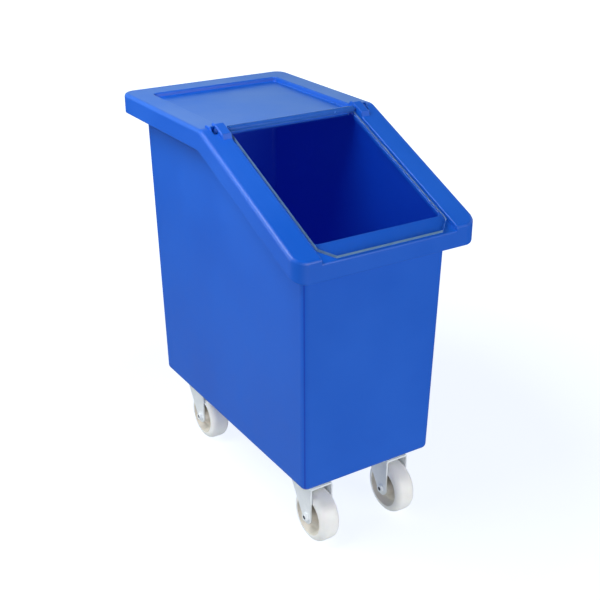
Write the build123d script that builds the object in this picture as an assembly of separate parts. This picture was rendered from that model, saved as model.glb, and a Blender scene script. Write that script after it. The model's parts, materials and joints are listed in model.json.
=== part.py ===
from build123d import *
import math
import os

os.makedirs("parts", exist_ok=True)

# Wheeled ingredient bin, millimetres. +Z is up, the sloping front faces -Y,
# and the origin lies on the floor below the middle of the hood.

# Overall form
hood_width = 316.5
hood_length = 559.0
hood_top = 637.5
bend_y = -9.3
slope_angle = 24.0
bend_rounding = 24.0

# Hood moulding
hood_corner = 22.0
hood_edge_round = 6.2
hood_ring = 11.0
hood_skin = 5.0
skirt_depth = 33.0
skirt_front_depth = 34.5
skirt_edge_round = 1.6

# Sunk panel behind the flap
panel_side_frame = 38.75
panel_depth = 8.0
panel_rear_frame = 46.0
panel_wall_draft = 1.5
panel_corner = 7.0
panel_edge_round = 2.6
panel_floor_round = 2.5
panel_lip_gap = 1.6
panel_lip_length = 9.0
panel_lip_drop = 4.0
panel_lip_round = 3.5

# Flap seat and the opening through it
seat_side_bar = 41.25
seat_depth = 6.0
seat_edge_round = 1.8
seat_front_round = 4.5
opening_side_ledge = 8.0
opening_front_ledge = 34.8
opening_corner = 6.0
opening_edge_round = 1.4

# Clear flap and its hinge
flap_side_gap = 5.0
flap_thickness = 5.0
flap_chamfer = 20.0
flap_front_setback = 0.8
flap_seat_gap = 0.3
hinge_along = 8.0
hinge_bar_radius = 5.5
hinge_pin_radius = 3.0
pin_head_radius = 4.0
pin_head_length = 3.0
pin_engagement = 9.0
pin_end_gap = 1.0
pin_head_round = 1.0
pin_tip_chamfer = 0.6
running_gap = 0.06

# Hinge bosses on the hood
boss_width = 16.0
boss_height = 6.0
boss_rear = 14.0
boss_front = 31.0
boss_ramp = 7.0
boss_edge_round = 2.4
boss_inner_round = 1.2
notch_width = 7.0
notch_length = 15.0
notch_depth = 5.2
shoulder_width = 9.0
shoulder_height = 3.0
shoulder_front = -3.0
shoulder_round = 1.5

# Tub
base_height = 119.0
wall_draft = 1.0
tub_wall = 5.0
floor_thickness = 6.0
tub_corner = 11.0
tub_inner_corner = 8.0
base_edge_round = 8.0
floor_edge_round = 6.0
seat_gap = 0.3
rim_thickness = 5.0
rim_gap = 4.7
rim_side_reach = 19.5
rim_end_reach = 20.45
rim_lip_drop = 12.0
rim_lip_wall = 4.0

# Castor mounting
castor_pad_height = 3.5
castor_side_inset = 46.2
castor_end_inset = 57.5
plate_width = 60.0
plate_length = 80.0
plate_thickness = 2.5
plate_corner = 8.0
plate_holes_x = 40.0
plate_holes_y = 60.0
plate_hole_radius = 4.25
pad_margin = 2.0
insert_radius = 6.0
insert_length = 14.0
insert_dome_wall = 5.0
insert_dome_cap = 4.0
bolt_radius = 4.0
bolt_gap = 0.05
bolt_end_gap = 2.0
bolt_corner_trim = 0.45
bolt_corner_reach = 0.9
bolt_across_flats = 13.0
bolt_head_height = 5.3
washer_radius = 8.0
washer_thickness = 1.6

# Castor
wheel_radius = 44.5
wheel_width = 35.0
hub_length = 36.0
hub_radius = 13.5
wheel_shoulder = 11.0
wheel_rim = 13.0
dish_taper = 7.0
hub_flare = 3.0
dish_round = 2.5
rim_chamfer = 1.0
web_thickness = 13.0
trail = 24.0
fork_gap = 0.3
fork_sheet = 2.5
leg_foot_radius = 12.0
leg_top_rear = 22.0
leg_brow = 9.0
leg_brow_round = 12.0
crown_drop = 13.0
crown_sheet = 3.0
crown_radius = 27.0
crown_bend = 3.0
race_cup_outer = 24.0
race_cup_inner = 18.5
race_cup_height = 8.5
ball_ring_bore = 10.0
king_bolt_radius = 6.0
king_bolt_stub = 1.5
king_nut_across_flats = 19.0
king_nut_height = 7.0
axle_radius = 4.0
axle_sleeve_radius = 6.0
axle_bolt_length = 48.5
axle_flats = 13.0
axle_head_height = 4.0
axle_nut_height = 8.0

# Derived places
angle = math.radians(slope_angle)
hood_front = -hood_length / 2
hood_rear = hood_length / 2
hood_half = hood_width / 2
slope_length = (bend_y - hood_front) / math.cos(angle)
rim_depth = hood_ring + seat_gap
wall_lean = math.tan(math.radians(wall_draft))
wall_growth = (hood_top - base_height) * wall_lean
plate_top = base_height - castor_pad_height
crown_height = plate_top - crown_drop
leg_inner = hub_length / 2 + fork_gap
leg_outer = leg_inner + fork_sheet
panel_width = hood_width - 2 * panel_side_frame
seat_width = hood_width - 2 * seat_side_bar
seat_half = seat_width / 2
hinge_y = bend_y - hinge_along * math.cos(angle)
panel_lip_y = hinge_y + hinge_bar_radius + panel_lip_gap
opening_width = seat_width - 2 * opening_side_ledge
opening_end = slope_length - opening_front_ledge
flap_width = seat_width - 2 * flap_side_gap
rim_half_x = hood_half - hood_skin - rim_gap
rim_half_y = hood_length / 2 - hood_skin - rim_gap
boss_outer = seat_half + boss_width
base_half_x = rim_half_x - rim_side_reach - wall_growth
base_half_y = rim_half_y - rim_end_reach - wall_growth
castor_x = base_half_x - castor_side_inset
castor_y = base_half_y - castor_end_inset
far = 900.0
overrun = 1.0
edge_reach = 0.5
near = 0.02

castor_spots = {
    "front_left": (-castor_x, -castor_y),
    "front_right": (castor_x, -castor_y),
    "rear_left": (-castor_x, castor_y),
    "rear_right": (castor_x, castor_y),
}


def slope_point(along, depth=0.0):
    """Y and Z of a point down the slope, sunk square to its surface."""
    y = bend_y - along * math.cos(angle) + depth * math.sin(angle)
    z = hood_top - along * math.sin(angle) - depth * math.cos(angle)
    return (y, z)


def bend_point(depth):
    """Where the flat and the slope meet when both are sunk by the same depth."""
    return (bend_y + depth * math.tan(angle / 2), hood_top - depth)


def side_prism(points, half_width):
    """A solid with the given Y-Z outline, reaching the same way to both sides."""
    outline = make_face(Polyline(*points, close=True))
    return extrude(Plane.YZ * outline, half_width, both=True)


def below_top(depth, half_width=far):
    """Everything under the flat and sloping top, sunk by a depth."""
    points = [
        slope_point(slope_length * 2, depth),
        bend_point(depth),
        (far, hood_top - depth),
        (far, -far),
        (slope_point(slope_length * 2, depth)[0], -far),
    ]
    return side_prism(points, half_width)


def slope_box(half_width, along_start, along_end, depth_top, depth_low):
    """A box that lies along the slope, between two depths."""
    points = [
        slope_point(along_start, depth_top),
        slope_point(along_end, depth_top),
        slope_point(along_end, depth_low),
        slope_point(along_start, depth_low),
    ]
    return side_prism(points, half_width)


def upright(half_x, half_y, corner, low, high):
    """An upright block with rounded plan corners."""
    plan = RectangleRounded(2 * half_x, 2 * half_y, corner)
    return extrude(Pos(0, 0, low) * plan, high - low)


def drafted(half_x, half_y, corner, low, high, z_ref=base_height):
    """A block that widens upwards by the wall draft, its size given at z_ref."""
    grow_low = (low - z_ref) * wall_lean
    grow_high = (high - z_ref) * wall_lean
    plan_low = RectangleRounded(2 * (half_x + grow_low), 2 * (half_y + grow_low), corner)
    plan_high = RectangleRounded(2 * (half_x + grow_high), 2 * (half_y + grow_high), corner)
    return loft([Pos(0, 0, low) * plan_low, Pos(0, 0, high) * plan_high])


def hexagon(across_flats, height):
    """A hexagonal prism standing on the XY plane."""
    return extrude(RegularPolygon(across_flats / math.sqrt(3), 6), height)


def edges_near_x(solid, x):
    """Edges whose middle lies at the given distance to either side."""
    return [e for e in solid.edges() if abs(abs(e.center().X) - x) < edge_reach]


def hood_shell():
    """The hood's outer form with rounded edges, hollow from below."""
    block = upright(hood_half, hood_length / 2, hood_corner, 0, hood_top + overrun)
    block = block & below_top(0)
    bend = [
        e for e in block.edges()
        if abs(e.center().Z - hood_top) < near and abs(e.center().Y - bend_y) < near
    ]
    block = fillet(bend, bend_rounding)
    upper = [
        e for e in block.edges()
        if e.center().Z > slope_point(slope_length)[1] - edge_reach
        and not is_upright(e) and not is_across(e, bend_y)
    ]
    block = fillet(upper, hood_edge_round)
    skirt_floor = [
        (hood_front - overrun, slope_point(slope_length)[1] - skirt_front_depth),
        bend_point(skirt_depth),
        (far, hood_top - skirt_depth),
        (far, -far),
        (hood_front - overrun, -far),
    ]
    block = block - side_prism(skirt_floor, far)
    inside = upright(
        hood_half - hood_skin, hood_length / 2 - hood_skin, hood_corner - hood_skin, 0, hood_top
    )
    block = block - (inside & below_top(hood_ring))
    return fillet([e for e in block.edges() if on_skirt_floor(e)], skirt_edge_round)


def on_skirt_floor(edge):
    """True for an edge that lies in the skirt's lower faces."""
    return all(abs(edge.position_at(t).Z - skirt_floor_height(edge.position_at(t).Y)) < near
               for t in (0, 0.5, 1)) and not is_across(edge, bend_y)


def skirt_floor_height(y):
    """Height of the skirt's lower edge at a place along the hood."""
    knee_y, knee_z = bend_point(skirt_depth)
    front_z = slope_point(slope_length)[1] - skirt_front_depth
    if y >= knee_y:
        return knee_z
    share = (knee_y - y) / (knee_y - (hood_front - overrun))
    return knee_z - share * (knee_z - front_z)


def is_upright(edge):
    """True for an edge that runs straight up."""
    along = edge.end_point() - edge.start_point()
    return along.X ** 2 + along.Y ** 2 < near


def is_across(edge, y):
    """True for a straight edge across the hood close to the bend."""
    along = edge.end_point() - edge.start_point()
    return abs(along.Y) < near and abs(along.Z) < near and abs(edge.center().Y - y) < bend_rounding


def panel_recess():
    """The space of the sunk panel, open to the flap seat at its front."""
    floor = hood_top - panel_depth
    rear = hood_rear - panel_rear_frame
    front = panel_lip_y - panel_corner
    middle = (rear + front) / 2
    half_x = panel_width / 2 - panel_wall_draft
    half_y = (rear - front) / 2
    low = RectangleRounded(2 * half_x, 2 * half_y, panel_corner)
    high = offset(low, panel_wall_draft)
    sink = loft([Pos(0, 0, floor) * low, Pos(0, 0, hood_top) * high])
    sink = fillet([e for e in sink.edges() if abs(e.center().Z - floor) < near], panel_floor_round)
    air = Pos(0, 0, hood_top + panel_depth / 2) * Box(hood_width, hood_length, panel_depth)
    sink += air
    mouth = [
        e for e in sink.edges()
        if abs(e.center().Z - hood_top) < near and abs(e.center().X) < half_x + 2 * panel_wall_draft
        and abs(e.center().Y) < half_y + 2 * panel_wall_draft
    ]
    return Pos(0, middle, 0) * fillet(mouth, panel_edge_round)


def flap_seat():
    """The sunk seat for the flap, running out at the hood's front."""
    sink = slope_box(seat_half, 0, slope_length * 2, -seat_depth, seat_depth)
    air = slope_box(hood_width, 0, slope_length * 2, -seat_depth * 2, 0)
    sink += air
    rims = [
        e for e in sink.edges()
        if abs(abs(e.center().X) - seat_half) < near and e.length > slope_length
        and abs(depth_of(e.center())) < near
    ]
    return fillet(rims, seat_edge_round)


def depth_of(point):
    """How far a point lies below the slope, square to it."""
    return (point.Y - bend_y) * math.sin(angle) - (point.Z - hood_top) * math.cos(angle)


def hinge_boss(side):
    """A raised block beside the flap, which carries one hinge pin."""
    outline = [
        (bend_y + boss_rear, hood_top - overrun),
        (bend_y + boss_rear - boss_ramp, hood_top + boss_height),
        bend_point(-boss_height),
        slope_point(boss_front - boss_ramp, -boss_height),
        slope_point(boss_front, overrun),
    ]
    block = extrude(Plane.YZ * make_face(Polyline(*outline, close=True)), boss_width)
    block = fillet(edges_near_x(block, boss_width), boss_edge_round)
    inner = [e for e in edges_near_x(block, 0) if e.center().Z > hood_top - boss_edge_round]
    block = fillet(inner, boss_inner_round)
    if side < 0:
        block = mirror(block, Plane.YZ)
    return Pos(side * seat_half, 0, 0) * block


def hinge_shoulder(side):
    """A low step outside the boss, behind the notch for the pin's head."""
    outline = [
        (bend_y + boss_rear, hood_top - overrun),
        (bend_y + boss_rear - shoulder_height, hood_top + shoulder_height),
        (bend_y + shoulder_front, hood_top + shoulder_height),
        (bend_y + shoulder_front - boss_ramp, hood_top - boss_ramp),
    ]
    block = extrude(Plane.YZ * make_face(Polyline(*outline, close=True)), shoulder_width)
    block = fillet(edges_near_x(block, shoulder_width), shoulder_round)
    if side < 0:
        block = mirror(block, Plane.YZ)
    return Pos(side * boss_outer, 0, 0) * block


def hinge_notch(side):
    """The pocket outside a boss, from which the pin goes in."""
    middle = hinge_along
    pocket = slope_box(
        notch_width / 2, middle - notch_length / 2, middle + notch_length / 2,
        -2 * boss_height, notch_depth,
    )
    return Pos(side * (boss_outer + notch_width / 2), 0, 0) * pocket


def hinge_axis(radius, x_from, x_to):
    """A round bar on the hinge axis between two X places."""
    y, z = slope_point(hinge_along)
    bar = extrude(Plane.YZ * Circle(radius), x_to - x_from)
    return Pos(x_from, y, z) * bar


def hood():
    """Hood: frame, sunk panel, flap seat, opening and hinge bosses."""
    body = hood_shell()
    pan = upright(
        panel_width / 2 + panel_wall_draft, (hood_rear - panel_rear_frame - panel_lip_y) / 2,
        panel_corner, hood_top - panel_depth - hood_skin, hood_top - hood_ring + edge_reach,
    )
    body += Pos(0, (hood_rear - panel_rear_frame + panel_lip_y) / 2, 0) * pan
    body -= flap_seat()
    run_out = [
        e for e in body.edges()
        if abs(e.center().Y - hood_front) < edge_reach and e.length > seat_width - overrun
        and abs(depth_of(e.center()) - seat_depth) < edge_reach
    ]
    body = fillet(run_out, seat_front_round)
    body -= hood_opening()
    rims = [
        e for e in body.edges()
        if abs(depth_of(e.center()) - seat_depth) < near and abs(e.center().X) < opening_width / 2 + near
        and slope_point(opening_end)[0] - overrun < e.center().Y < bend_y - opening_corner
    ]
    body = fillet(rims, opening_edge_round)
    body -= hinge_relief()
    body -= panel_recess()
    body += panel_lip()
    for side in (-1, 1):
        body += hinge_boss(side)
        body += hinge_shoulder(side)
        body -= hinge_notch(side)
    return body - hinge_axis(hinge_pin_radius, -boss_outer - overrun, boss_outer + overrun)


def hood_opening():
    """The opening below the flap, from the panel's lip to the front ledge."""
    front = slope_point(opening_end)[0]
    rear = panel_lip_y
    plan = RectangleRounded(opening_width, rear - front, opening_corner)
    hole = extrude(Pos(0, (rear + front) / 2, 0) * plan, far)
    square_end = Pos(0, rear - opening_corner, far / 2) * Box(opening_width, 2 * opening_corner, far)
    return hole + square_end


def hinge_relief():
    """The seat cut through to its full width below the hinge bar."""
    length = 2 * (hinge_bar_radius + panel_lip_gap)
    return Pos(0, hinge_y, hood_top - panel_depth) * Box(seat_width, length, 2 * hood_ring)


def panel_lip():
    """The rolled front edge of the sunk panel."""
    low = hood_top - panel_depth - hood_skin - panel_lip_drop
    lip = Pos(0, panel_lip_y + panel_lip_length / 2, (low + hood_top - panel_depth) / 2) * Box(
        opening_width + 2 * overrun, panel_lip_length, hood_top - panel_depth - low
    )
    front = [
        e for e in lip.edges()
        if abs(e.center().Y - panel_lip_y) < near and abs(e.center().X) < near
    ]
    return fillet(front, panel_lip_round)


def flap_sheet():
    """The clear sheet, with its two lower corners cut off."""
    half = flap_width / 2
    start = hinge_along
    end = slope_length - flap_front_setback
    top = seat_depth - flap_seat_gap - flap_thickness
    sheet = slope_box(half, start, end, top, top + flap_thickness)
    for side in (-1, 1):
        edges = [
            e for e in sheet.edges()
            if abs(e.center().X - side * half) < near and abs(e.length - flap_thickness) < near
            and e.center().Y < bend_y - slope_length / 2
        ]
        sheet = chamfer(edges, flap_chamfer)
    return sheet - hinge_axis(hinge_bar_radius, -half, half)


def flap_hinge_bar():
    """The clear round bar bonded along the sheet, bored for the pins."""
    half = flap_width / 2
    bar = hinge_axis(hinge_bar_radius, -half, half)
    bore = hinge_pin_radius + running_gap
    depth = pin_engagement + pin_end_gap
    bar -= hinge_axis(bore, -half, -half + depth)
    bar -= hinge_axis(bore, half - depth, half)
    return bar


def hinge_pin(side):
    """A headed pin through a boss into the end of the clear bar."""
    inner = flap_width / 2 - pin_engagement
    pin = hinge_axis(hinge_pin_radius, inner, boss_outer)
    head = hinge_axis(pin_head_radius, boss_outer, boss_outer + pin_head_length)
    rim = [e for e in head.edges() if abs(e.center().X - boss_outer - pin_head_length) < near]
    pin += fillet(rim, pin_head_round)
    tip = [e for e in pin.edges() if abs(e.center().X - inner) < near]
    pin = chamfer(tip, pin_tip_chamfer)
    return pin if side > 0 else mirror(pin, Plane.YZ)


def tub():
    """Tapered open tub with a turned-down rim, castor pads and insert domes."""
    shell = drafted(base_half_x, base_half_y, tub_corner, base_height, hood_top)
    bottom = [e for e in shell.edges() if abs(e.center().Z - base_height) < near]
    shell = fillet(bottom, base_edge_round)
    rim_corner = hood_corner - hood_skin - rim_gap
    flange = upright(rim_half_x, rim_half_y, rim_corner, 0, hood_top)
    band = flange - below_top(rim_depth + rim_thickness)
    lip = flange - upright(
        rim_half_x - rim_lip_wall, rim_half_y - rim_lip_wall, rim_corner - rim_lip_wall, 0, hood_top
    )
    lip = lip - below_top(rim_depth + rim_lip_drop)
    shell = shell + (band + lip)
    shell = shell & below_top(rim_depth)
    for x, y in castor_spots.values():
        shell += Pos(x, y, 0) * castor_pad()
    cavity = drafted(
        base_half_x - tub_wall, base_half_y - tub_wall, tub_inner_corner,
        base_height + floor_thickness, hood_top
    )
    inner_floor = [e for e in cavity.edges() if abs(e.center().Z - base_height - floor_thickness) < near]
    shell -= fillet(inner_floor, floor_edge_round)
    for x, y in plate_hole_spots():
        shell += Pos(x, y, 0) * insert_dome()
        shell -= Pos(x, y, plate_top) * Cylinder(
            insert_radius, insert_length, align=(Align.CENTER, Align.CENTER, Align.MIN)
        )
    return shell


def castor_pad():
    """A moulded pad under the base for one castor plate."""
    plan = RectangleRounded(
        plate_width + 2 * pad_margin, plate_length + 2 * pad_margin, plate_corner + pad_margin
    )
    return extrude(Pos(0, 0, plate_top) * plan, castor_pad_height + floor_thickness / 2)


def insert_dome():
    """The domed moulding over one threaded insert, inside the floor."""
    radius = insert_radius + insert_dome_wall
    height = insert_length + insert_dome_cap
    dome = Pos(0, 0, plate_top + height / 2) * Cylinder(radius, height)
    top = [e for e in dome.edges() if abs(e.center().Z - plate_top - height) < near]
    dome = fillet(top, insert_dome_cap)
    keep = Pos(0, 0, base_height + floor_thickness / 2 + height / 2) * Cylinder(radius * 2, height)
    return dome & keep


def plate_hole_spots():
    """Every castor bolt's place."""
    spots = []
    for x, y in castor_spots.values():
        for dx in (-plate_holes_x / 2, plate_holes_x / 2):
            for dy in (-plate_holes_y / 2, plate_holes_y / 2):
                spots.append((x + dx, y + dy))
    return spots


def rod(radius, low, high):
    """An upright round rod between two heights."""
    return Pos(0, 0, (low + high) / 2) * Cylinder(radius, high - low)


def castor_insert():
    """A threaded insert moulded into the base."""
    insert = rod(insert_radius, plate_top, plate_top + insert_length)
    return insert - rod(bolt_radius, plate_top - overrun, plate_top + insert_length + overrun)


def castor_washer():
    """A plain washer below the castor plate."""
    top = plate_top - plate_thickness
    washer = rod(washer_radius, top - washer_thickness, top)
    return washer - rod(plate_hole_radius, top - washer_thickness - overrun, top + overrun)


def castor_bolt():
    """A hexagon bolt up through washer and plate into an insert."""
    seat = plate_top - plate_thickness - washer_thickness
    head = Pos(0, 0, seat - bolt_head_height) * hexagon(bolt_across_flats, bolt_head_height)
    head = head & trimmed_corners(bolt_across_flats, bolt_head_height, seat - bolt_head_height)
    return head + rod(bolt_radius - bolt_gap, seat, plate_top + insert_length - bolt_end_gap)


def trimmed_corners(across_flats, height, low):
    """The turned form that takes the corners off a hexagon's lower face."""
    radius = across_flats / math.sqrt(3)
    form = rod(radius, low, low + height)
    edge = [e for e in form.edges() if abs(e.center().Z - low) < near]
    return chamfer(edge, bolt_corner_trim, bolt_corner_reach)


def top_plate():
    """The castor's fixed plate with its pressed upper race."""
    low = plate_top - plate_thickness
    plan = RectangleRounded(plate_width, plate_length, plate_corner)
    plate = extrude(Pos(0, 0, low) * plan, plate_thickness)
    cup_low = low - race_cup_height
    plate += rod(race_cup_outer, cup_low, low) - rod(race_cup_inner, cup_low - overrun, low)
    for dx in (-plate_holes_x / 2, plate_holes_x / 2):
        for dy in (-plate_holes_y / 2, plate_holes_y / 2):
            plate -= Pos(dx, dy, 0) * rod(plate_hole_radius, low - overrun, plate_top + overrun)
    countersink = Pos(0, 0, plate_top - plate_thickness / 2) * Cone(
        king_bolt_radius + bolt_gap, king_bolt_radius + bolt_gap + plate_thickness, plate_thickness
    )
    plate -= rod(king_bolt_radius + bolt_gap, cup_low - overrun, plate_top + overrun)
    return plate - countersink


def ball_ring():
    """The ring of balls between the plate's race and the fork's crown."""
    low = crown_height
    high = plate_top - plate_thickness - seat_gap
    return rod(race_cup_inner - seat_gap, low, high) - rod(ball_ring_bore, low - overrun, high + overrun)


def king_bolt():
    """The bolt on which the fork swivels, its head flush in the plate."""
    head = Pos(0, 0, plate_top - plate_thickness / 2) * Cone(
        king_bolt_radius, king_bolt_radius + plate_thickness, plate_thickness
    )
    return head + rod(king_bolt_radius, king_nut_low() - king_bolt_stub, plate_top - plate_thickness / 2)


def king_nut_low():
    """Height of the king nut's lower face."""
    return crown_height - crown_sheet - seat_gap - king_nut_height


def king_nut():
    """The nut that holds the fork up on the king bolt."""
    nut = Pos(0, 0, king_nut_low()) * hexagon(king_nut_across_flats, king_nut_height)
    return nut - rod(king_bolt_radius, king_nut_low() - overrun, crown_height)


def fork():
    """Pressed steel fork: round crown and two tapering legs."""
    foot = (-trail, wheel_radius)
    top_front = -trail - leg_foot_radius
    crown = rod(crown_radius, crown_height - crown_sheet, crown_height)
    bridge = Pos(0, (top_front + leg_top_rear) / 2, crown_height - crown_sheet / 2) * Box(
        2 * leg_outer, leg_top_rear - top_front, crown_sheet
    )
    body = crown + bridge
    for side in (-1, 1):
        body += fork_leg(side, foot, top_front)
    bends = [
        e for e in body.edges()
        if abs(abs(e.center().X) - leg_outer) < near and abs(e.center().Z - crown_height) < near
    ]
    body = fillet(bends, crown_bend)
    crown_low = crown_height - crown_sheet
    body -= rod(king_bolt_radius + running_gap, crown_low - overrun, crown_height + overrun)
    return body - axle_rod(axle_radius, -leg_outer - overrun, leg_outer + overrun)


def fork_leg(side, foot, top_front):
    """One leg: upright at the front, slanting at the rear, round at the foot."""
    foot_y, foot_z = foot
    brow_z = crown_height - leg_brow
    run = leg_top_rear - foot_y
    rise = brow_z - foot_z
    reach = math.hypot(run, rise)
    turn = math.atan2(rise, run) - math.asin(leg_foot_radius / reach)
    touch_y = foot_y + leg_foot_radius * math.sin(turn)
    touch_z = foot_z - leg_foot_radius * math.cos(turn)
    edge = Polyline(
        (touch_y, touch_z), (leg_top_rear, brow_z), (leg_top_rear, crown_height),
        (top_front, crown_height), (top_front, foot_z),
    )
    sole = ThreePointArc((top_front, foot_z), arc_middle(foot, (top_front, foot_z), (touch_y, touch_z)),
                         (touch_y, touch_z))
    face = make_face([*edge.edges(), *sole.edges()])
    brow = [v for v in face.vertices() if abs(v.Y - brow_z) < near]
    face = fillet(brow, leg_brow_round)
    leg = extrude(Plane.YZ * face, fork_sheet)
    start = leg_inner if side > 0 else -leg_outer
    return Pos(start, 0, 0) * leg


def arc_middle(centre, start, end):
    """The middle of the lower arc about a centre."""
    first = math.atan2(start[1] - centre[1], start[0] - centre[0])
    last = math.atan2(end[1] - centre[1], end[0] - centre[0])
    if first > 0:
        first -= 2 * math.pi
    middle = (first + last) / 2
    across = leg_foot_radius * math.cos(middle)
    up = leg_foot_radius * math.sin(middle)
    return (centre[0] + across, centre[1] + up)


def axle_rod(radius, x_from, x_to):
    """A round rod on the wheel's axis."""
    return Pos(x_from, -trail, wheel_radius) * extrude(Plane.YZ * Circle(radius), x_to - x_from)


def wheel():
    """Solid nylon wheel: rounded tread, dished sides and a hub."""
    half = wheel_width / 2
    bore = axle_sleeve_radius + running_gap
    web = web_thickness / 2
    dish_outer = wheel_radius - wheel_rim
    right = [
        (hub_length / 2, bore), (hub_length / 2, hub_radius), (web, hub_radius + hub_flare),
        (web, dish_outer - dish_taper), (half - rim_chamfer, dish_outer),
        (half, dish_outer + rim_chamfer), (half, wheel_radius),
    ]
    points = right + [(-x, y) for x, y in reversed(right)]
    profile = make_face(Polyline(*points, close=True))
    shoulders = [v for v in profile.vertices() if v.Y > wheel_radius - near]
    profile = fillet(shoulders, wheel_shoulder)
    hollows = [v for v in profile.vertices() if abs(abs(v.X) - web) < near]
    profile = fillet(hollows, dish_round)
    body = revolve(profile, Axis.X)
    return Pos(0, -trail, wheel_radius) * body


def axle_sleeve():
    """The steel tube clamped between the legs, on which the wheel turns."""
    return axle_rod(axle_sleeve_radius, -leg_inner, leg_inner) - axle_rod(
        axle_radius, -leg_inner - overrun, leg_inner + overrun
    )


def axle_bolt():
    """The bolt through legs and sleeve, its head on the left."""
    shank = axle_rod(axle_radius - bolt_gap, -leg_outer, axle_bolt_length - leg_outer)
    head = Pos(-leg_outer - axle_head_height, -trail, wheel_radius) * (
        Plane.YZ.location * hexagon(axle_flats, axle_head_height)
    )
    return shank + head


def axle_nut():
    """The lock nut on the axle bolt's right end."""
    nut = Plane.YZ.location * hexagon(axle_flats, axle_nut_height)
    nut = Pos(leg_outer, -trail, wheel_radius) * nut
    return nut - axle_rod(axle_radius, leg_outer - overrun, leg_outer + axle_nut_height + overrun)


def write(name, *shapes):
    """One STEP file for one sub-part, or for a group of equal fasteners."""
    shape = shapes[0] if len(shapes) == 1 else Compound(children=list(shapes))
    shape.label = name
    export_step(shape, f"parts/{name}.step")


def build():
    """Write every sub-part."""
    write("tub", tub())
    write("hood", hood())
    write("clear_flap", flap_sheet())
    write("flap_hinge_bar", flap_hinge_bar())
    write("hinge_pin_left", hinge_pin(-1))
    write("hinge_pin_right", hinge_pin(1))
    for name, make in (("castor_inserts", castor_insert), ("castor_washers", castor_washer),
                       ("castor_bolts", castor_bolt)):
        piece = make()
        write(name, *[Pos(x, y, 0) * piece for x, y in plate_hole_spots()])
    castor_pieces = {
        "top_plate": top_plate(),
        "king_bolt": king_bolt(),
        "king_nut": king_nut(),
        "ball_ring": ball_ring(),
        "fork": fork(),
        "wheel": wheel(),
        "axle_sleeve": axle_sleeve(),
        "axle_bolt": axle_bolt(),
        "axle_nut": axle_nut(),
    }
    for spot, (x, y) in castor_spots.items():
        for name, piece in castor_pieces.items():
            write(f"{spot}_{name}", Pos(x, y, 0) * piece)


build()
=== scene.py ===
import json
import math

import bmesh
import bpy
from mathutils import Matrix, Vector


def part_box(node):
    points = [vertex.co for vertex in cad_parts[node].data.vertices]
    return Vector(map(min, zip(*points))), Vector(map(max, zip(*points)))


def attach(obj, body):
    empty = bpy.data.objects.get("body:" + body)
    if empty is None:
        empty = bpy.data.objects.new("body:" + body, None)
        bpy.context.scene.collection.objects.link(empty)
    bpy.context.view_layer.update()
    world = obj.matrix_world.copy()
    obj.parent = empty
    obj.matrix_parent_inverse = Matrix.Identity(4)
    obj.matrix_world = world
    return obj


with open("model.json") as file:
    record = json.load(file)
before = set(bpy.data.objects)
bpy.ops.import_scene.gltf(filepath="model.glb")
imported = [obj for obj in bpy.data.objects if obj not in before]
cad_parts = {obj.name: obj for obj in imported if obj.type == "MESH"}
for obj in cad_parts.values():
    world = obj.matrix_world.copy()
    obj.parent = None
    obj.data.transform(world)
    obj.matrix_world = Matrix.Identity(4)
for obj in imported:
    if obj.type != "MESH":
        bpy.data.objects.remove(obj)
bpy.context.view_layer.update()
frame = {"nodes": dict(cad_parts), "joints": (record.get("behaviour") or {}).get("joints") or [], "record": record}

nodes = frame["nodes"]
joints = {joint["name"]: joint for joint in frame["joints"]}
spots = [name.removesuffix("_wheel") for name in nodes if name.endswith("_wheel")]

# Camera, fitted to the photograph, in metres
VIEW_AZIMUTH = math.radians(-32.2)
VIEW_ELEVATION = math.radians(24.66)
VIEW_DISTANCE = 1.79026
VIEW_TARGET = Vector((0.03924, 0.02464, 0.30133))
CLIP_END = 50.0
FOCAL_PIXELS = 1039.32
IMAGE_PIXELS = 600.0
SENSOR_MM = 36.0

# Soft boxes: name, place, the point each faces, side and watts
LAMPS = (
    ("key", (-0.85, 0.05, 1.5), (0.0, -0.05, 0.45), 0.8, 17.5),
    ("left", (-2.0, 0.9, 0.35), (0.0, 0.0, 0.3), 1.2, 14.0),
    ("top", (0.1, 0.7, 2.5), (0.0, 0.0, 0.5), 1.0, 4.0),
    ("fill", (0.7, -2.9, 1.0), (0.0, 0.0, 0.35), 1.6, 42.0),
    ("front", (-0.4, -2.8, 0.5), (0.0, 0.0, 0.3), 1.6, 11.0),
)

# Studio world, where a band is the part of a ray's direction over which a change comes in
WHITE = (1.0, 1.0, 1.0)
AMBIENT = 0.40  # level for diffuse rays
FRONT_SHINE = 0.3  # level for reflections of the front
FRONT_BAND = (-0.7, -0.2)  # along Y
REAR_TINT = (0.85, 1.20, 0.99)
REAR_BAND = (0.2, 0.7)  # along Y
ZENITH_SHINE = 0.004  # share of the level that is left overhead
ZENITH_BAND = (0.44, 0.72)  # along Z

# Floor, where a band is the distance from the middle over which a change comes in
FLOOR_SIZE = 12.0
FLOOR_SHADE = (0.28, 0.29, 0.31)  # what it reflects
FLOOR_GLOW = (0.80, 0.84, 0.92)  # what the camera sees besides
GLOW_FAR = 1.35  # the glow's level at the end of its band
GLOW_BAND = (0.5, 1.6)
FLOOR_BOUNCE = (0.43, 0.46, 0.45)  # what the bin gets besides
BOUNCE_SHINE = 0.15  # share of the bounce in reflections
BOUNCE_BAND = (0.3, 1.6)

# Noise behind the mottling and the grain
PATCH_DETAIL = 3.0
PATCH_ROUGHNESS = 0.58
PATCH_BAND = (0.3, 0.7)
GRAIN_DETAIL = 2.0

# Inside of the tub, in metres, and the painted shade and painted glow its plastic gets there
INNER_X = 0.1175
INNER_Y = 0.2378
INNER_LOW = 0.1215
BASE_HEIGHT = 0.119
WALL_LEAN = math.tan(math.radians(1.0))
# Painted shade: the inside's colour is multiplied by this
INSIDE_PAINTED_SHADE = (0.25, 0.42, 0.60)
# Painted glow: emission inside the tub that stands in for light filtering through the wall
PAINTED_GLOW_TINT = (0.0, 0.026, 1.0)
PAINTED_GLOW_STRENGTH = 0.11

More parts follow.
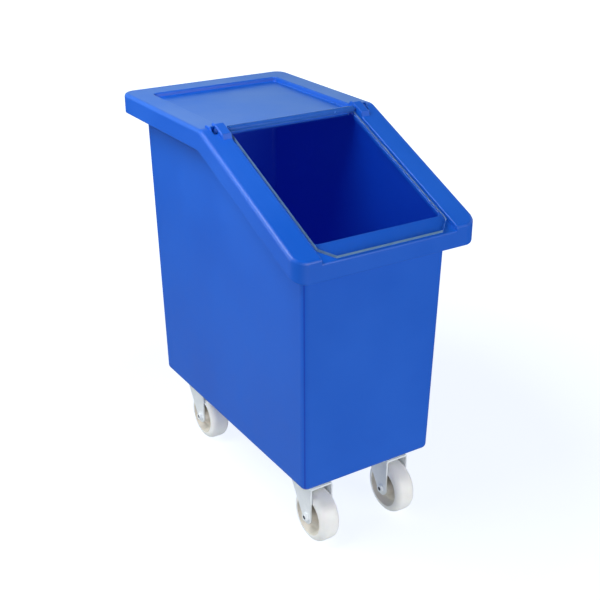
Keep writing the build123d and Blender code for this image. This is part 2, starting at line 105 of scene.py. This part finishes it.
# The flap's sheet: its direction, and how far a face may face that way and still be an edge
SLOPE = math.radians(24.0)
SHEET_NORMAL = Vector((0.0, -math.sin(SLOPE), math.cos(SLOPE)))
EDGE_LIMIT = 0.5

# Clear plastic
SHEET_IOR = 1.49
BAR_IOR = 1.2

# Where a wheel's dished side, painted darker as shade, begins, in metres from its axis
DISH_EDGE = 0.0325

# The hollow end of an axle bolt's head, in metres
SOCKET_RADIUS = 0.0052
SOCKET_RISE = 0.0006
SOCKET_ROUND = 0.0003
SOCKET_SINK = 0.0002
BORE_RADIUS = 0.0033
BORE_FLOOR = 0.0001
SOCKET_STEPS = 40
MERGE_DISTANCE = 1e-6

# Socket types of a node group
VECTOR = "NodeSocketVector"
FLOAT = "NodeSocketFloat"
COLOUR = "NodeSocketColor"

# A mix node's sockets when it mixes colours
MIX_FACTOR, MIX_FIRST, MIX_SECOND, MIX_RESULT = 0, 6, 7, 2


def new_object(name, data):
    """An object at the origin, in the scene."""
    made = bpy.data.objects.new(name, data)
    bpy.context.scene.collection.objects.link(made)
    return made


def make_camera():
    """A camera at the photograph's angle, distance and framing."""
    back = Vector((
        math.sin(VIEW_AZIMUTH) * math.cos(VIEW_ELEVATION),
        -math.cos(VIEW_AZIMUTH) * math.cos(VIEW_ELEVATION),
        math.sin(VIEW_ELEVATION),
    ))
    data = bpy.data.cameras.new("camera")
    data.sensor_width = SENSOR_MM
    data.sensor_fit = "HORIZONTAL"
    data.lens = FOCAL_PIXELS / IMAGE_PIXELS * SENSOR_MM
    data.clip_end = CLIP_END
    camera = new_object("camera", data)
    camera.location = VIEW_TARGET + back * VIEW_DISTANCE
    camera.rotation_euler = back.to_track_quat("Z", "Y").to_euler()
    bpy.context.scene.camera = camera


def make_lights():
    """The square soft boxes of the studio, each turned to its point."""
    for name, place, target, side, watts in LAMPS:
        data = bpy.data.lights.new(name, "AREA")
        data.shape = "SQUARE"
        data.size = side
        data.energy = watts
        lamp = new_object(name, data)
        lamp.location = place
        back = Vector(place) - Vector(target)
        lamp.rotation_euler = back.to_track_quat("Z", "Y").to_euler()


def empty_tree(owner):
    """The cleared node tree of a material or a world."""
    owner.use_nodes = True
    owner.node_tree.nodes.clear()
    return owner.node_tree


def feed(tree, node, inputs):
    """Gives each listed input a link from a socket, a colour or a number."""
    for name, value in inputs.items():
        socket = node.inputs[name]
        if isinstance(value, bpy.types.NodeSocket):
            tree.links.new(value, socket)
        elif socket.type == "RGBA":
            socket.default_value = (*value, 1.0)
        else:
            socket.default_value = value


def new_node(tree, kind, inputs=None):
    """One node with its inputs fed."""
    node = tree.nodes.new(kind)
    feed(tree, node, inputs or {})
    return node


def math_node(tree, operation, *values):
    """The result of one sum; each value is a socket or a number."""
    node = tree.nodes.new("ShaderNodeMath")
    node.operation = operation
    feed(tree, node, dict(enumerate(values)))
    return node.outputs[0]


def map_range(tree, value, band, low, high):
    """The value carried from a band to another range, held at its ends."""
    node = new_node(tree, "ShaderNodeMapRange", {
        "Value": value, "From Min": band[0], "From Max": band[1],
        "To Min": low, "To Max": high,
    })
    return node.outputs["Result"]


def blend(tree, factor, first, second, mode="MIX"):
    """Two colours blended by a factor."""
    node = tree.nodes.new("ShaderNodeMix")
    node.data_type = "RGBA"
    node.blend_type = mode
    feed(tree, node, {MIX_FACTOR: factor, MIX_FIRST: first, MIX_SECOND: second})
    return node.outputs[MIX_RESULT]


def mix_shaders(tree, factor, first, second):
    """The first node's shader where the factor is 0, the second node's where it is 1."""
    node = new_node(tree, "ShaderNodeMixShader", {
        0: factor, 1: first.outputs[0], 2: second.outputs[0],
    })
    return node.outputs[0]


def group(name, inputs, outputs):
    """An empty shader node group with named sockets, and its two end nodes."""
    tree = bpy.data.node_groups.new(name, "ShaderNodeTree")
    for in_out, sockets in (("INPUT", inputs), ("OUTPUT", outputs)):
        for label, kind in sockets:
            tree.interface.new_socket(name=label, in_out=in_out, socket_type=kind)
    return tree, tree.nodes.new("NodeGroupInput"), tree.nodes.new("NodeGroupOutput")


def use(tree, shared, inputs):
    """The outputs of a shared group, with its inputs fed."""
    node = tree.nodes.new("ShaderNodeGroup")
    node.node_tree = shared
    feed(tree, node, inputs)
    return node.outputs


def make_mottle_group():
    """Soft mottling: two tones blended in patches, and a value that goes with them."""
    tree, start, end = group(
        "soft_mottle",
        (("Vector", VECTOR), ("Scale", FLOAT), ("Dark", COLOUR), ("Light", COLOUR),
         ("Low", FLOAT), ("High", FLOAT)),
        (("Color", COLOUR), ("Value", FLOAT)),
    )
    given = start.outputs
    patches = new_node(tree, "ShaderNodeTexNoise", {
        "Vector": given["Vector"], "Scale": given["Scale"],
        "Detail": PATCH_DETAIL, "Roughness": PATCH_ROUGHNESS,
    })
    share = map_range(tree, patches.outputs["Fac"], PATCH_BAND, 0.0, 1.0)
    feed(tree, end, {
        "Color": blend(tree, share, given["Dark"], given["Light"]),
        "Value": map_range(tree, share, (0.0, 1.0), given["Low"], given["High"]),
    })
    return tree


def make_grain_group():
    """A fine surface grain as a normal."""
    tree, start, end = group(
        "fine_grain",
        (("Vector", VECTOR), ("Scale", FLOAT), ("Strength", FLOAT), ("Distance", FLOAT)),
        (("Normal", VECTOR),),
    )
    given = start.outputs
    grain = new_node(tree, "ShaderNodeTexNoise", {
        "Vector": given["Vector"], "Scale": given["Scale"], "Detail": GRAIN_DETAIL,
    })
    bump = new_node(tree, "ShaderNodeBump", {
        "Height": grain.outputs["Fac"],
        "Strength": given["Strength"], "Distance": given["Distance"],
    })
    feed(tree, end, {"Normal": bump.outputs["Normal"]})
    return tree


def mottled(name, patches, dark, light, smooth, rough, grain, strength, depth,
            constants=None, through=None):
    """A material whose tone, roughness and grain vary softly, clear where it has a tint."""
    material = bpy.data.materials.new(name)
    tree = empty_tree(material)
    place = new_node(tree, "ShaderNodeTexCoord").outputs["Object"]
    clouds = use(tree, SHARED["mottle"], {
        "Vector": place, "Scale": patches,
        "Dark": dark, "Light": light, "Low": smooth, "High": rough,
    })
    surface = use(tree, SHARED["grain"], {
        "Vector": place, "Scale": grain, "Strength": strength, "Distance": depth,
    })
    shader = new_node(tree, "ShaderNodeBsdfPrincipled", {
        "Base Color": clouds["Color"], "Roughness": clouds["Value"],
        "Normal": surface["Normal"], **(constants or {}),
    })
    result = shader.outputs["BSDF"]
    if through:
        result = see_through(tree, shader, through)
    new_node(tree, "ShaderNodeOutputMaterial", {"Surface": result})
    return material


def see_through(tree, shader, tint):
    """Lets shadow and diffuse rays through a clear piece, so that what lies behind is lit."""
    rays = new_node(tree, "ShaderNodeLightPath").outputs
    passing = math_node(tree, "MAXIMUM", rays["Is Shadow Ray"], rays["Is Diffuse Ray"])
    open_air = new_node(tree, "ShaderNodeBsdfTransparent", {"Color": tint})
    return mix_shaders(tree, passing, shader, open_air)


def blue_polyethylene(name):
    """Satin moulded polyethylene: cloudy pigment, orange peel and soft gloss."""
    return mottled(
        name, patches=6.0, dark=(0.0030, 0.094, 0.555), light=(0.0045, 0.108, 0.600),
        smooth=0.36, rough=0.46, grain=420.0, strength=0.06, depth=0.0004,
        constants={"IOR": 1.44},
    )


def tub_polyethylene():
    """The same plastic; inside, darkened by painted shade, with a painted glow that stands in for the light that
    filters through the wall.
    """
    material = blue_polyethylene("blue_polyethylene_tub")
    tree = material.node_tree
    shader = next(node for node in tree.nodes if node.type == "BSDF_PRINCIPLED")
    place = new_node(tree, "ShaderNodeTexCoord").outputs["Object"]
    parts = new_node(tree, "ShaderNodeSeparateXYZ", {0: place}).outputs
    rise = math_node(tree, "SUBTRACT", parts["Z"], BASE_HEIGHT)
    lean = math_node(tree, "MULTIPLY", rise, WALL_LEAN)
    inside = math_node(tree, "GREATER_THAN", parts["Z"], INNER_LOW)
    for axis, wall in (("X", INNER_X), ("Y", INNER_Y)):
        reach = math_node(tree, "SUBTRACT", math_node(tree, "ABSOLUTE", parts[axis]), lean)
        within = math_node(tree, "LESS_THAN", reach, wall)
        inside = math_node(tree, "MULTIPLY", inside, within)
    colour = shader.inputs["Base Color"].links[0].from_socket
    # Painted shade on the inside's colour, and a painted glow emitted there
    feed(tree, shader, {
        "Base Color": blend(tree, inside, colour, INSIDE_PAINTED_SHADE, "MULTIPLY"),
        "Emission Color": PAINTED_GLOW_TINT,
        "Emission Strength": math_node(tree, "MULTIPLY", inside, PAINTED_GLOW_STRENGTH),
    })
    return material


def clear_sheet():
    """The flap's clear polished plastic, with faint wipe marks."""
    return mottled(
        "clear_sheet", patches=26.0, dark=(0.90, 0.975, 0.965), light=(0.93, 0.985, 0.975),
        smooth=0.0, rough=0.03, grain=60.0, strength=0.01, depth=0.0002,
        constants={"Transmission Weight": 1.0, "IOR": SHEET_IOR},
        through=(0.90, 0.92, 0.96),
    )


def sheet_edge_painted_reflection():
    """The sheet's sawn edges, frosted; their blue-grey is painted reflection of the blue around them."""
    return mottled(
        # The blue-grey tones are painted reflection of the hood and tub seen in the clear edges
        "sheet_edge_painted_reflection", patches=80.0, dark=(0.12, 0.24, 0.40), light=(0.17, 0.30, 0.46),
        smooth=0.45, rough=0.55, grain=300.0, strength=0.05, depth=0.0001,
        constants={
            "Transmission Weight": 0.15, "IOR": SHEET_IOR, "Specular IOR Level": 0.15,
        },
    )


def clear_bar_painted_blue():
    """The flap's hinge bar: clear plastic, with the hood that shows through it painted in as blue."""
    return mottled(
        # The blue tones are painted: they stand in for the hood seen through the clear bar
        "clear_bar_painted_blue", patches=26.0, dark=(0.04, 0.17, 0.56), light=(0.05, 0.20, 0.62),
        smooth=0.20, rough=0.28, grain=60.0, strength=0.02, depth=0.0002,
        constants={"Transmission Weight": 0.6, "IOR": BAR_IOR},
        through=(0.6, 0.75, 0.9),
    )


def nylon(name, dark, light):
    """Satin nylon that lets a little light in."""
    return mottled(
        name, patches=40.0, dark=dark, light=light,
        smooth=0.38, rough=0.48, grain=300.0, strength=0.03, depth=0.0002,
        constants={
            "Subsurface Weight": 0.15, "Subsurface Radius": (0.004, 0.003, 0.002),
            "Subsurface Scale": 1.0,
        },
    )


def wheel_tread():
    """The white nylon of a wheel's tread and rims."""
    return nylon("white_nylon", dark=(0.82, 0.82, 0.82), light=(0.88, 0.88, 0.88))


def wheel_dish_painted_shade():
    """The wheel's white nylon on its dished sides, darker and warmer as painted shade."""
    return nylon("white_nylon_dish_painted_shade", dark=(0.60, 0.56, 0.50), light=(0.74, 0.70, 0.64))


def blue_nylon():
    """The dark blue nylon of the hinge pins."""
    return mottled(
        "blue_nylon", patches=60.0, dark=(0.002, 0.045, 0.30), light=(0.003, 0.06, 0.36),
        smooth=0.35, rough=0.45, grain=700.0, strength=0.05, depth=0.0002,
    )


def metal(name, metallic, dark, light, smooth, rough, grain):
    """Plated or machined metal with a cloudy tone and a fine grain."""
    return mottled(
        name, patches=90.0, dark=dark, light=light,
        smooth=smooth, rough=rough, grain=grain, strength=0.02, depth=0.00005,
        constants={"Metallic": metallic},
    )


def zinc_plated_steel():
    """The pale zinc plate of the castors and their bolts."""
    return metal(
        "zinc_plated_steel", metallic=0.2, dark=(0.84, 0.88, 0.92), light=(0.91, 0.94, 0.97),
        smooth=0.28, rough=0.38, grain=900.0,
    )


def bearing_steel():
    """The greased steel of the ball rings."""
    return metal(
        "bearing_steel", metallic=1.0, dark=(0.30, 0.30, 0.30), light=(0.42, 0.41, 0.40),
        smooth=0.25, rough=0.4, grain=300.0,
    )


def brass():
    """The machined brass of the castor inserts."""
    return metal(
        "brass", metallic=1.0, dark=(0.62, 0.42, 0.16), light=(0.74, 0.53, 0.24),
        smooth=0.25, rough=0.38, grain=300.0,
    )


def painted_bore_shade():
    """Near-black painted shade for the hollow in an axle bolt's head."""
    return mottled(
        "painted_bore_shade", patches=200.0, dark=(0.008, 0.012, 0.03), light=(0.02, 0.03, 0.06),
        smooth=0.4, rough=0.6, grain=900.0, strength=0.1, depth=0.0001,
    )


def paint(object_, material):
    """The one material of a CAD node."""
    object_.data.materials.clear()
    object_.data.materials.append(material)


def edge_faces(sheet, material):
    """Puts the edge material on every face that is square to the sheet."""
    sheet.data.materials.append(material)
    for face in sheet.data.polygons:
        if abs(face.normal.dot(SHEET_NORMAL)) < EDGE_LIMIT:
            face.material_index = 1


def dish_faces(wheel, axis_at, material):
    """Puts the dish's painted-shade material on every face close to the wheel's axis."""
    wheel.data.materials.append(material)
    for face in wheel.data.polygons:
        if math.hypot(face.center.y - axis_at[1], face.center.z - axis_at[2]) < DISH_EDGE:
            face.material_index = 1


def finish_nodes(zinc):
    """Every CAD node in its slot's material, and the faces that differ in theirs: the tub with painted shade and
    glow inside, the bar painted blue, the sheet's edges with painted reflection and the wheels' dishes with
    painted shade.
    """
    finish = {
        "blue_polyethylene": blue_polyethylene("blue_polyethylene"),
        "clear_sheet": clear_sheet(),
        "white_nylon": wheel_tread(),
        "blue_nylon": blue_nylon(),
        "zinc_plated_steel": zinc,
        "bearing_steel": bearing_steel(),
        "brass": brass(),
    }
    for part in frame["record"]["subparts"]:
        paint(nodes[part["node"]], finish[part["material_slot"]])
    paint(nodes["tub"], tub_polyethylene())
    paint(nodes["flap_hinge_bar"], clear_bar_painted_blue())
    edge_faces(nodes["clear_flap"], sheet_edge_painted_reflection())
    dish_shade = wheel_dish_painted_shade()
    for spot in spots:
        dish_faces(nodes[f"{spot}_wheel"], joints[f"{spot}_roll"]["pos_m"], dish_shade)


def axle_socket(spot, zinc, bore):
    """The raised, hollow end on an axle bolt's head: one turned solid, with painted shade in its bore."""
    face_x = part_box(f"{spot}_axle_bolt")[0][0]
    axis_at = joints[f"{spot}_roll"]["pos_m"]
    profile = (
        (0.0, -SOCKET_SINK),
        (SOCKET_RADIUS, -SOCKET_SINK),
        (SOCKET_RADIUS, SOCKET_RISE - SOCKET_ROUND),
        (SOCKET_RADIUS - SOCKET_ROUND, SOCKET_RISE),
        (BORE_RADIUS + SOCKET_ROUND, SOCKET_RISE),
        (BORE_RADIUS, SOCKET_RISE - SOCKET_ROUND),
        (BORE_RADIUS, BORE_FLOOR),
        (0.0, BORE_FLOOR),
    )
    centre = Vector((face_x, axis_at[1], axis_at[2]))
    shape = bmesh.new()
    points = [
        shape.verts.new(centre + Vector((-rise, radius, 0.0))) for radius, rise in profile
    ]
    edges = [shape.edges.new(pair) for pair in zip(points, points[1:])]
    bmesh.ops.spin(
        shape, geom=points + edges, cent=centre, axis=(1.0, 0.0, 0.0),
        angle=math.tau, steps=SOCKET_STEPS, use_merge=True,
    )
    bmesh.ops.remove_doubles(shape, verts=shape.verts, dist=MERGE_DISTANCE)
    bmesh.ops.recalc_face_normals(shape, faces=shape.faces)
    # Faces in the bore get the painted shade
    for face in shape.faces:
        middle = face.calc_center_median() - centre
        in_bore = math.hypot(middle.y, middle.z) <= BORE_RADIUS and -middle.x > 0.0
        face.material_index = 1 if in_bore else 0
    mesh = bpy.data.meshes.new(f"{spot}_axle_socket")
    shape.to_mesh(mesh)
    shape.free()
    mesh.materials.append(zinc)
    mesh.materials.append(bore)
    socket = new_object(f"{spot}_axle_socket", mesh)
    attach(socket, f"{spot}_castor")


def floor_white():
    """White to the camera, a bounce from close by to the bin, and little of it in gloss."""
    material = bpy.data.materials.new("floor_white")
    tree = empty_tree(material)
    place = new_node(tree, "ShaderNodeTexCoord").outputs["Object"]
    reach = tree.nodes.new("ShaderNodeVectorMath")
    reach.operation = "LENGTH"
    feed(tree, reach, {0: place})
    distance = reach.outputs["Value"]
    rays = new_node(tree, "ShaderNodeLightPath").outputs
    near = map_range(tree, distance, BOUNCE_BAND, 1.0, 0.0)
    level = map_range(tree, rays["Is Glossy Ray"], (0.0, 1.0), 1.0, BOUNCE_SHINE)
    bounced = new_node(tree, "ShaderNodeEmission", {
        "Color": FLOOR_BOUNCE, "Strength": math_node(tree, "MULTIPLY", near, level),
    })
    seen = new_node(tree, "ShaderNodeEmission", {
        "Color": FLOOR_GLOW, "Strength": map_range(tree, distance, GLOW_BAND, 1.0, GLOW_FAR),
    })
    direct = math_node(tree, "MAXIMUM", rays["Is Camera Ray"], rays["Is Transmission Ray"])
    diffuse = new_node(tree, "ShaderNodeBsdfDiffuse", {"Color": FLOOR_SHADE})
    both = new_node(tree, "ShaderNodeAddShader", {
        0: diffuse.outputs[0], 1: mix_shaders(tree, direct, bounced, seen),
    })
    new_node(tree, "ShaderNodeOutputMaterial", {"Surface": both.outputs[0]})
    return material


def make_floor():
    """A pale floor that stays white to the camera but keeps the shadow."""
    mesh = bpy.data.meshes.new("floor")
    shape = bmesh.new()
    bmesh.ops.create_grid(shape, x_segments=1, y_segments=1, size=FLOOR_SIZE)
    shape.to_mesh(mesh)
    shape.free()
    mesh.materials.append(floor_white())
    floor = new_object("floor", mesh)


def make_world():
    """White to the camera; to other rays a studio, tinted behind and dark overhead.

    Transmitted rays see it in full, reflections do but for its front, and others see it dim.
    """
    world = bpy.data.worlds.new("studio")
    bpy.context.scene.world = world
    tree = empty_tree(world)
    direction = new_node(tree, "ShaderNodeTexCoord").outputs["Generated"]
    parts = new_node(tree, "ShaderNodeSeparateXYZ", {0: direction}).outputs
    rays = new_node(tree, "ShaderNodeLightPath").outputs
    ahead = map_range(tree, parts["Y"], FRONT_BAND, FRONT_SHINE, 1.0)
    shown = math_node(tree, "MAXIMUM", ahead, rays["Is Transmission Ray"])
    mirrored = math_node(tree, "MAXIMUM", rays["Is Glossy Ray"], rays["Is Transmission Ray"])
    shine = math_node(tree, "MULTIPLY", mirrored, math_node(tree, "SUBTRACT", shown, AMBIENT))
    level = math_node(tree, "ADD", AMBIENT, shine)
    overhead = map_range(tree, parts["Z"], ZENITH_BAND, 1.0, ZENITH_SHINE)
    behind = map_range(tree, parts["Y"], REAR_BAND, 0.0, 1.0)
    studio = new_node(tree, "ShaderNodeBackground", {
        "Color": blend(tree, behind, WHITE, REAR_TINT),
        "Strength": math_node(tree, "MULTIPLY", level, overhead),
    })
    white = new_node(tree, "ShaderNodeBackground", {"Color": WHITE, "Strength": 1.0})
    surface = mix_shaders(tree, rays["Is Camera Ray"], studio, white)
    new_node(tree, "ShaderNodeOutputWorld", {"Surface": surface})


bpy.context.scene.view_settings.view_transform = "Standard"
SHARED = {"mottle": make_mottle_group(), "grain": make_grain_group()}
make_camera()
make_world()
make_lights()
make_floor()
zinc = zinc_plated_steel()
bore = painted_bore_shade()
finish_nodes(zinc)
for spot in spots:
    axle_socket(spot, zinc, bore)
